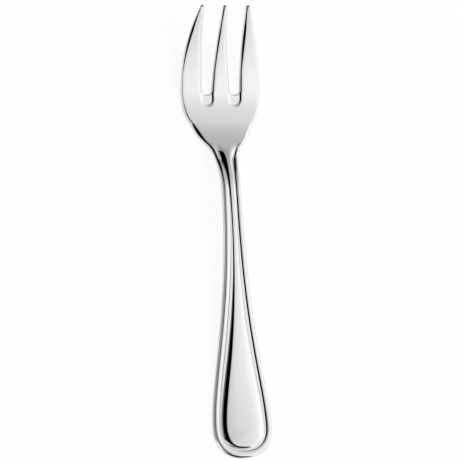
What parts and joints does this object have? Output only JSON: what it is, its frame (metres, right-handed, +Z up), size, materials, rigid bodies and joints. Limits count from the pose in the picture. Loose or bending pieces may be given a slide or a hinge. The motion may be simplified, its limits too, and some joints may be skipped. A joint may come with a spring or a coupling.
{
  "type": "fish fork",
  "caption": "Polished steel fish fork with a broad shallow head, tapered tines, scooped slot roots and a waisted handle with a threaded border and domed panel.",
  "frame": {"origin": "middle of the fork's box, on the plane that it rests on", "axes": "+Y along the fork from the handle end to the tips, +Z up through its face, +X to the right with the tips pointing away"},
  "size_m": [0.033, 0.18, 0.0168],
  "materials": {
    "polished_steel": "mirror polished stainless steel"
  },
  "bodies": {
    "root": {"fish_fork": "polished_steel"}
  },
  "joints": []
}
